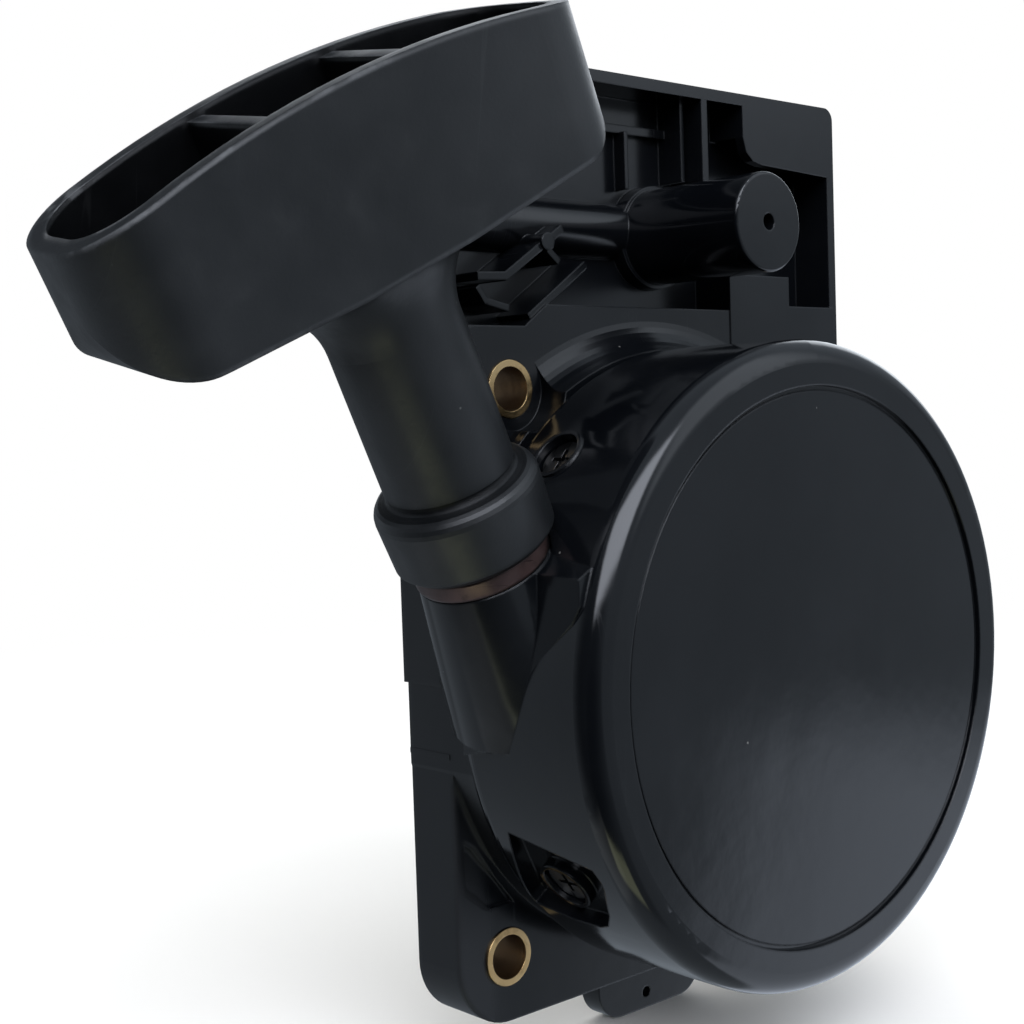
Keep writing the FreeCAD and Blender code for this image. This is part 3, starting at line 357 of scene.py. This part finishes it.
def turned_metal(name, dark, light, rough, axis="Y", ring=2200.0, metal=1.0,
                 tarnish=None, bore=None, seat=None):
    """Machined metal with turning marks spaced along the axis.

    tarnish and bore are colours, bore the painted shade inside the bore; ring the density
    of the marks, and seat the reach of the painted shade round the next piece."""
    mat = Material(name)
    bevel = mat.bevel(radius=0.00018)
    cloud = mat.noise(scale=140, detail=4, rough=0.6)
    lines = mat.noise(scale=1, detail=2, rough=0.6,
                      at=mat.mapped(tuple(ring if a == axis else 60.0 for a in "XYZ")))
    base = mat.mix(dark, light, by=cloud.ramp(over=(0.3, 0.7)))
    if tarnish is not None:
        stains = mat.noise(scale=330, detail=4, rough=0.65)
        base = mat.mix(base, tarnish, by=stains.ramp(over=(0.52, 0.7), to=(0, 0.6)))
    # edges are slightly polished
    roughness = (lines.ramp(over=(0.3, 0.7), to=(rough * 0.75, rough * 1.25))
                 + mat.edge(bevel) * -0.05)
    if bore is not None:
        # dull inside the bore, with painted shade there, bright on the end ring
        is_open = mat.open_area(dist=0.006, over=(0.62, 0.97), samples=10)
        base = mat.mix(bore, base, by=is_open)
        roughness = roughness + is_open.ramp(over=(0, 1), to=(0.22, 0))
    if seat is not None:
        # painted shade: black where it meets the next piece
        unshaded = mat.open_area(dist=seat, over=(0.45, 0.9), samples=8, local=False)
        base = mat.mix(rgb(0.004, 0.004, 0.004), base, by=unshaded)
    return mat.surface({
        "Base Color": base,
        "Metallic": metal,
        "Roughness": roughness,
        "Normal": mat.bump(lines, dist=0.000015, strength=0.6, normal=bevel),
    })


def strip_steel(name, dark, light, rough):
    """Stamped or rolled steel: long faint rolling lines, small pits, bright edges."""
    mat = Material(name)
    bevel = mat.bevel(radius=0.0002)
    cloud = mat.noise(scale=70, detail=4, rough=0.6)
    pits = mat.noise(scale=900, detail=2, rough=0.5).ramp(over=(0.62, 0.72))
    base = mat.mix(dark, light, by=cloud.ramp(over=(0.3, 0.7)))
    base = mat.mix(base, rgb(0.08, 0.075, 0.07), by=pits * 0.4)
    base = mat.mix(base, rgb(0.72, 0.72, 0.71), by=mat.edge(bevel) * 0.4)
    lines = mat.noise(scale=1, detail=2, rough=0.5,
                      at=mat.mapped((1400, 1400, 90), rot=(0.3, 0.2, 0.1)))
    return mat.surface({
        "Base Color": base,
        "Metallic": 1.0,
        "Roughness": lines.ramp(over=(0.3, 0.7), to=(rough * 0.8, rough * 1.25)),
        "Normal": mat.bump(lines, dist=0.00001, strength=0.5, normal=bevel),
    })


def pulley_nylon():
    """Natural off-white nylon of the rope pulley, a little greasy round the middle."""
    mat = Material("pulley_natural_nylon")
    bevel = mat.bevel(radius=0.0004)
    cloud = mat.noise(scale=60, detail=4, rough=0.6)
    x, _, z = mat.xyz(mat.obj)
    radius = mat.math("SQRT", x * x + z * z)
    base = mat.mix(rgb(0.60, 0.575, 0.49), rgb(0.69, 0.665, 0.59),
                   by=cloud.ramp(over=(0.3, 0.7)))
    smudges = mat.noise(scale=150, detail=4, rough=0.7).ramp(over=(0.4, 0.65))
    grease = radius.ramp(over=(0.012, 0.027), to=(1, 0)) * smudges
    base = mat.mix(base, rgb(0.20, 0.17, 0.11), by=grease * 0.55)
    base = mat.mix(base, rgb(0.82, 0.8, 0.75), by=mat.edge(bevel) * 0.25)
    grain = mat.noise(scale=1100, detail=2, rough=0.5)
    return mat.surface({
        "Base Color": base,
        # grease is smoother than bare nylon
        "Roughness": cloud.ramp(over=(0.3, 0.7), to=(0.36, 0.5)) - grease * 0.18,
        "Subsurface Weight": 0.15,
        "Subsurface Radius": (0.004, 0.0035, 0.0025),
        "Subsurface Scale": 0.4,
        "Normal": mat.bump(grain, dist=0.00002, strength=0.5, normal=bevel),
    })


def braid(mat, along, around):
    """Height of an over-and-under braid, and the strand number one way round.

    along is in metres, around runs 0..1."""
    first = around * STRANDS + along / BRAID_PITCH
    second = around * STRANDS - along / BRAID_PITCH
    strand = mat.math("FLOOR", first)
    parity = (strand + mat.math("FLOOR", second)) % 2
    arch1 = mat.math("SINE", mat.math("FRACT", first) * math.pi)
    arch2 = mat.math("SINE", mat.math("FRACT", second) * math.pi)
    top = arch1 * parity + arch2 * (1 - parity)
    under = arch2 * parity + arch1 * (1 - parity)
    # the power fattens the strand, the strand below shapes its height
    return top ** 0.6 * (0.55 + under * 0.45), strand


def rope_cloth(name, origin=None):
    """Braided cord, laid on the pull line from origin, or else read from rope_s, rope_t."""
    mat = Material(name)
    if origin is not None:
        # cylinder coordinates round the pull line
        place = mat.vmath("SUBTRACT", mat.obj, tuple(origin))
        along = mat.dot(place, tuple(ROPE_DIR))
        side1 = ROPE_DIR.cross(Vector((0, 1, 0))).normalized()
        side2 = ROPE_DIR.cross(side1)
        x = mat.dot(place, tuple(side1))
        y = mat.dot(place, tuple(side2))
        around = mat.math("ARCTAN2", y, x) / (2 * math.pi) + 0.5
    else:
        along = mat.node("Attribute", out="Fac", attribute_name="rope_s")
        around = mat.node("Attribute", out="Fac", attribute_name="rope_t")
    height, strand = braid(mat, along, around)
    yarn = mat.noise(scale=1, detail=1, rough=0.5, at=mat.mapped((5200, 5200, 5200)))
    base = mat.mix(rgb(0.50, 0.49, 0.45), rgb(0.66, 0.65, 0.61),
                   by=yarn.ramp(over=(0.3, 0.7)))
    # every fourth strand is dark
    fleck = mat.math("LESS_THAN", strand % 4, 0.5)
    base = mat.mix(base, rgb(0.035, 0.04, 0.05), by=fleck * 0.85)
    # painted shade between the strands, where the braid is low; then dirt in patches
    base = mat.mix(base, rgb(0.05, 0.047, 0.04),
                   by=height.ramp(over=(0.15, 0.6), to=(0.75, 0)))
    patches = mat.noise(scale=120, detail=4, rough=0.6)
    base = mat.mix(base, rgb(0.16, 0.14, 0.11),
                   by=patches.ramp(over=(0.5, 0.75), to=(0, 0.35)))
    return mat.surface({
        "Base Color": base,
        "Roughness": 0.78,
        "Sheen Weight": 0.25,
        "Sheen Roughness": 0.4,
        "Normal": mat.bump(height + yarn * 0.12, dist=0.00028, strength=0.9),
    })


# dark and light tones of the metals, with their roughness
def tones(dark, light, rough):
    return {"dark": rgb(*dark), "light": rgb(*light), "rough": rough}


SLEEVE = tones((0.66, 0.43, 0.19), (0.77, 0.55, 0.28), 0.24)
INSERT = tones((0.66, 0.45, 0.19), (0.76, 0.55, 0.27), 0.28)
GUIDE = tones((0.062, 0.040, 0.038), (0.105, 0.064, 0.058), 0.34)
BEARING = tones((0.50, 0.31, 0.15), (0.60, 0.40, 0.22), 0.38)
CASE = tones((0.46, 0.47, 0.49), (0.58, 0.59, 0.60), 0.3)
DRAG = tones((0.50, 0.50, 0.48), (0.63, 0.62, 0.58), 0.27)
BLUE = tones((0.20, 0.21, 0.24), (0.30, 0.31, 0.34), 0.24)
WIRE = tones((0.34, 0.34, 0.35), (0.46, 0.46, 0.46), 0.24)
PAWL = tones((0.31, 0.305, 0.30), (0.44, 0.43, 0.42), 0.33)
PIN = tones((0.50, 0.50, 0.50), (0.6, 0.6, 0.6), 0.22)
SCREW = tones((0.24, 0.24, 0.25), (0.36, 0.36, 0.37), 0.3)
WASHER = tones((0.50, 0.50, 0.49), (0.61, 0.61, 0.59), 0.3)
CASE_SCREW = tones((0.055, 0.055, 0.06), (0.12, 0.115, 0.11), 0.34)
ROPE_WASHER = tones((0.46, 0.46, 0.46), (0.57, 0.57, 0.56), 0.33)

MATERIALS = {
    "starter_housing": gloss_black(),
    "handle_grip": satin_charcoal(),
    "mounting_sleeves": turned_metal("sleeve_brass", **SLEEVE, tarnish=rgb(0.36, 0.22, 0.10),
                                     bore=rgb(0.105, 0.062, 0.036)),
    "post_insert": turned_metal("insert_brass", **INSERT, tarnish=rgb(0.34, 0.22, 0.10),
                                bore=rgb(0.13, 0.08, 0.045)),
    "rope_guide_bush": turned_metal("guide_bush_bronze", **GUIDE, axis="Z", ring=900.0,
                                    metal=0.6, tarnish=rgb(0.040, 0.024, 0.023), seat=0.0025),
    "pulley_bush": turned_metal("bearing_bronze", **BEARING, tarnish=rgb(0.24, 0.15, 0.08)),
    "spring_case": strip_steel("case_zinc_plate", **CASE),
    "case_cover": strip_steel("cover_zinc_plate", **CASE),
    "drag_plate": strip_steel("drag_zinc_plate", **DRAG),
    "recoil_spring": strip_steel("spring_blue_steel", **BLUE),
    "friction_spring": strip_steel("wire_spring_steel", **WIRE),
    "pawl_a": strip_steel("pawl_steel_a", **PAWL),
    "pawl_b": strip_steel("pawl_steel_b", **PAWL),
    "pawl_pins": turned_metal("pin_steel", **PIN),
    "centre_screw": turned_metal("screw_black_zinc", **SCREW),
    "centre_washer": turned_metal("washer_zinc", **WASHER),
    "case_screws": turned_metal("case_screw_steel", **CASE_SCREW),
    "rope_washer": turned_metal("rope_washer_zinc", **ROPE_WASHER),
    "rope_pulley": pulley_nylon(),
}
for node_name, material in MATERIALS.items():
    piece = NODES[node_name]
    if not piece.material_slots:
        piece.data.materials.append(material)
    for slot in piece.material_slots:
        slot.material = material


# ------------------------------------------------------------------ rope pieces
def cord(node, centres, radius, frames, ring, material, relief=0.0):
    """Sweep a cord along centres in place of a CAD node.

    Each ring carries rope_s (metres along) and rope_t (0..1 round). relief is the
    depth of the modelled braid."""
    name = node + "_cord"
    bm = bmesh.new()
    layer_s = bm.verts.layers.float.new("rope_s")
    layer_t = bm.verts.layers.float.new("rope_t")
    rows, s = [], 0.0
    count = len(centres)
    for i, centre in enumerate(centres):
        if i:
            s += (centres[i] - centres[i - 1]).length
        side1, side2 = frames[i]
        inward = min(i, count - 1 - i, TAPER_RINGS) / TAPER_RINGS
        ring_radius = radius * math.sqrt(max(0.04, 1 - (1 - inward) ** 2))
        row = []
        for j in range(ring):
            t = j / ring
            first = t * STRANDS + s / BRAID_PITCH
            second = t * STRANDS - s / BRAID_PITCH
            parity = (math.floor(first) + math.floor(second)) % 2
            arch = math.sin(math.pi * ((first if parity else second) % 1.0))
            reach = ring_radius - relief * (1 - arch ** 0.6)
            angle = 2 * math.pi * t
            vert = bm.verts.new(centre + (side1 * math.cos(angle)
                                          + side2 * math.sin(angle)) * reach)
            vert[layer_s] = s
            vert[layer_t] = t
            row.append(vert)
        rows.append(row)
    for row, after in zip(rows, rows[1:]):
        for j in range(ring):
            k = (j + 1) % ring
            bm.faces.new((row[j], row[k], after[k], after[j]))
    bm.faces.new(list(reversed(rows[0])))
    bm.faces.new(rows[-1])
    bmesh.ops.recalc_face_normals(bm, faces=bm.faces)
    mesh = mesh_from(name, bm)
    for polygon in mesh.polygons:
        polygon.use_smooth = True
    obj = add_object(name, mesh)
    mesh.materials.append(material)
    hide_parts(node)
    return obj


def frames_along(points):
    """Turn-free pairs of side vectors along a path."""
    frames = []
    side = None
    for i in range(len(points)):
        ahead = (points[min(i + 1, len(points) - 1)] - points[max(i - 1, 0)]).normalized()
        if side is None:
            side = ahead.cross(Vector((0, 1, 0.01))).normalized()
        else:
            side = (side - ahead * side.dot(ahead)).normalized()
        frames.append((side, ahead.cross(side)))
    return frames


def rope_lead():
    """Straight lead from the pulley, through the bush, to the knot in the grip."""
    steps = 260
    # the ends of the lead lie at the least and the greatest distance along the pull line;
    #     the cord runs straight between them
    verts = np.array([v.co for v in NODES["rope_lead"].data.vertices])
    along = verts @ np.array(ROPE_DIR)
    start, end = [Vector(verts[np.abs(along - k) < 1e-5].mean(0))
                  for k in (along.min(), along.max())]
    points = [start.lerp(end, i / steps) for i in range(steps + 1)]
    lead = cord("rope_lead", points, ROPE_RADIUS, frames_along(points), ring=20,
                material=rope_cloth("rope_lead_braid", origin=start))
    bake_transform(lead)


def rope_coil():
    """Cord wound in the pulley groove: two layers of two turns side by side."""
    turns, steps_per_turn = 2, 150
    clearance = 0.0001      # outer layer to the edge of the space
    layer_drop = 0.00225    # outer layer radius less inner layer radius
    side_gap = 0.00005      # extra offset of the inner turns from mid-width
    start_angle = math.radians(200)
    # parts of each layer: the step across in turns, the climb in layers
    cross_start, cross_length = 0.86, 0.28
    climb_start, climb_length = 0.93, 0.07
    lo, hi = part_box("rope_coil")
    y_mid = (lo.y + hi.y) / 2
    outer = (hi.x - lo.x) / 2 - ROPE_RADIUS - clearance
    # radius, y of the first turn, y of the second turn
    layers = [
        (outer - layer_drop, y_mid - ROPE_RADIUS - side_gap, y_mid + ROPE_RADIUS + side_gap),
        (outer, y_mid + ROPE_RADIUS, y_mid - ROPE_RADIUS),
    ]
    points = []
    for layer, (radius, y_first, y_second) in enumerate(layers):
        for k in range(turns * steps_per_turn):
            done = k / (turns * steps_per_turn)
            angle = start_angle + 2 * math.pi * turns * (layer + done)
            cross = min(1.0, max(0.0, (done * turns - cross_start) / cross_length))
            y = y_first + (y_second - y_first) * (cross * cross * (3 - 2 * cross))
            reach = radius
            if layer == 0 and done > climb_start:
                reach = radius + (outer - radius) * ((done - climb_start) / climb_length)
            points.append(Vector((reach * math.cos(angle), y, reach * math.sin(angle))))
    frames = [(Vector((p.x, 0, p.z)).normalized(), Vector((0, 1, 0))) for p in points]
    coil = cord("rope_coil", points, ROPE_RADIUS, frames, ring=18, material=braid_material,
                relief=0.00014)
    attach(coil, "pulley")


def knot(node, body, axis, scale, tail):
    """A pulled-tight trefoil knot filling the space of its CAD stand-in."""
    steps, tail_steps = 240, 8
    gap = 0.45    # angle left open at each end of the trefoil, in radians
    lo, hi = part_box(node)
    centre = (lo + hi) / 2
    axis = Vector(axis).normalized()
    side1 = axis.cross(Vector((0.3, 1, 0.2))).normalized()
    side2 = axis.cross(side1)
    loop = []
    for i in range(steps + 1):
        t = gap + (2 * math.pi - 2 * gap) * i / steps
        x = math.sin(t) + 1.6 * math.sin(2 * t)
        y = math.cos(t) - 1.6 * math.cos(2 * t)
        z = -1.15 * math.sin(3 * t)
        loop.append(centre + (side1 * x + side2 * y + axis * z) * scale)
    # the tails lean from the run of the loop towards the axis
    tail_in = ((loop[0] - loop[3]).normalized() * 0.4 - axis * 0.6).normalized()
    tail_out = ((loop[-1] - loop[-4]).normalized() * 0.4 + axis * 0.8).normalized()
    before = [loop[0] + tail_in * tail * (1 - k / tail_steps) for k in range(tail_steps)]
    after = [loop[-1] + tail_out * tail * (k / tail_steps) for k in range(1, tail_steps + 1)]
    points = before + loop + after
    # relax the corners where the tails join
    for _ in range(6):
        inner = [(a + b * 2 + c) / 4 for a, b, c in zip(points, points[1:], points[2:])]
        points = [points[0]] + inner + [points[-1]]
    obj = cord(node, points, ROPE_RADIUS * 0.98, frames_along(points), ring=18,
               material=braid_material, relief=0.00012)
    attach(obj, body)


rope_lead()
braid_material = rope_cloth("rope_braid")
rope_coil()
knot("handle_knot", "handle", axis=ROPE_DIR, scale=0.00105, tail=0.0028)
knot("pulley_knot", "pulley", axis=(0, 1, 0), scale=0.00062, tail=0.0006)


# ------------------------------------------------------------------ floor
def pale_floor():
    """Warm pale floor that fades to pure white away from the middle."""
    mat = Material("floor_pale")
    x, y, _ = mat.xyz(mat.obj)
    radius = mat.math("SQRT", x * x + y * y)
    cloud = mat.noise(scale=9, detail=3, rough=0.5).ramp(over=(0.3, 0.7))
    near = mat.node("BsdfPrincipled", {
        "Base Color": mat.mix(rgb(0.905, 0.865, 0.80), rgb(0.925, 0.885, 0.82), by=cloud),
        "Roughness": 0.75,
        "Specular IOR Level": 0.15,
    })
    far = mat.node("Emission", {"Color": rgb(1, 1, 1), "Strength": 1.0})
    fade = radius.ramp(over=(0.10, 0.55))
    mat.finish(mat.node("MixShader", {0: fade, 1: near, 2: far}), "Material")
    return mat.material


def build_floor():
    gap = 0.0003    # below the lowest CAD point
    material = pale_floor()
    bm = bmesh.new()
    bmesh.ops.create_circle(bm, cap_ends=True, segments=96, radius=6.0)
    mesh = mesh_from("floor", bm)
    mesh.materials.append(material)
    floor = add_object("floor", mesh)
    floor.location = (0, 0, cad_box[0].z - gap)
    floor.visible_glossy = False
    floor.visible_diffuse = False


build_floor()


# ------------------------------------------------------------------ light
def direction(azimuth, elevation):
    """Unit vector from degrees; azimuth 0 is -Y and 90 is +X."""
    a, e = math.radians(azimuth), math.radians(elevation)
    return Vector((math.sin(a) * math.cos(e), -math.cos(a) * math.cos(e), math.sin(e)))


def softbox(sky, view, azimuth, elevation, half_w, half_h, soft):
    """Mask of a soft-edged rectangle of sky; sizes in degrees."""
    centre = direction(azimuth, elevation)
    turn = math.radians(azimuth)
    side = Vector((math.cos(turn), math.sin(turn), 0))
    up = side.cross(-centre)
    facing = sky.dot(view, tuple(centre))
    masks = []
    for across, half in ((side, half_w), (up, half_h)):
        angle = sky.math("ARCTAN2", sky.dot(view, tuple(across)), facing)
        limits = (math.radians(half), math.radians(half + soft))
        masks.append(abs(angle).ramp(over=limits, to=(1, 0)))
    return masks[0] * masks[1] * sky.math("GREATER_THAN", facing, 0)


# azimuth, elevation, half width, half height, soft edge (degrees), colour, strength;
# without a colour the patch dims the sky to the given share
PATCHES = [
    (-40, -34, 24, 24, 18, None, 0.6),                  # low, camera side
    (172, 46, 26, 14, 22, None, 0.15),                  # high, +Y
    (154, -10, 22, 12, 14, None, 0.5),                  # horizon, +Y
    (-33, 37, 25, 14, 9, (0.95, 1.0, 1.12), 4.6),       # main light, camera side
    (36, 35, 12, 17, 14, (0.93, 1.0, 1.1), 0.8),        # high, -Y and +X
    (84, -36, 32, 21, 5, (0.90, 0.99, 1.16), 0.68),     # low, +X
    (84, -2, 18, 8, 8, None, 0.68),                     # horizon, +X
    (-106, -57, 20, 9, 8, (0.95, 1.0, 1.02), 0.24),     # steep below, -X
    (-50, -58, 13, 5, 6, (1.0, 1.06, 0.66), 1.0),       # steep below, camera side
    (128, 22, 20, 9, 11, (0.95, 1.0, 1.06), 1.5),       # above horizon, +X and +Y
]


def build_world():
    """Grey room with lit and dimmed patches; the camera itself sees white."""
    world = bpy.data.worlds.new("studio")
    bpy.context.scene.world = world
    sky = Graph(world)
    view = sky.node("TexCoord", out="Generated")
    height = sky.xyz(view)[2]
    # cool grey, paler upwards, darker towards the -X horizon
    light = sky.scaled((0.87, 0.99, 1.13), height.ramp(over=(-0.35, 0.75), to=(0.33, 0.44)))
    toward = sky.dot(view, tuple(direction(-72, -4)))
    light = sky.scaled(light, toward.ramp(over=(0.30, 0.93), to=(1, 0.16)))
    for *place, colour, strength in PATCHES:
        mask = softbox(sky, view, *place)
        if colour is None:
            light = sky.scaled(light, mask.ramp(over=(0, 1), to=(1, strength)))
        else:
            light = sky.vmath("ADD", light, sky.scaled(colour, mask * strength))
    room = sky.node("Background", {"Color": light, "Strength": 1.0})
    white = sky.node("Background", {"Color": rgb(1, 1, 1), "Strength": 1.0})
    to_camera = sky.node("LightPath", out="Is Camera Ray")
    sky.finish(sky.node("MixShader", {0: to_camera, 1: room, 2: white}), "World")


def area(name, toward, dist, size, power):
    """Square area light aimed at the starter, left out of reflections."""
    target = Vector((0, 0, 0.02))
    data = bpy.data.lights.new(name, "AREA")
    data.shape = "RECTANGLE"
    data.size = data.size_y = size
    data.energy = power
    lamp = add_object(name, data)
    lamp.location = target + toward * dist
    lamp.rotation_mode = "QUATERNION"
    lamp.rotation_quaternion = (-toward).to_track_quat("-Z", "Y")
    lamp.visible_glossy = False


build_world()
area("overhead", direction(20, 80), dist=1.6, size=1.6, power=9.0)
area("behind", direction(165, 32), dist=1.4, size=1.2, power=7.0)

# ------------------------------------------------------------------ camera
camera_data = bpy.data.cameras.new("camera")
camera_data.sensor_width = 36.0
camera_data.lens = 57.1746
camera_data.clip_start = 0.01
camera_data.clip_end = 50.0
camera = add_object("camera", camera_data)
camera.matrix_world = Matrix((
    (0.74267572, -0.66882907, -0.03317302, 0),      # right
    (0.06099047, 0.01822648, 0.99797192, 0),        # up
    (-0.66686801, -0.74319275, 0.05432857, 0),      # back
    (-0.19073731, -0.18769575, 0.03692961, 1),      # position
)).transposed()
bpy.context.scene.camera = camera
view_settings = bpy.context.scene.view_settings
view_settings.view_transform = "Standard"
view_settings.look = "None"
view_settings.exposure = 0.0

bpy.context.view_layer.update()
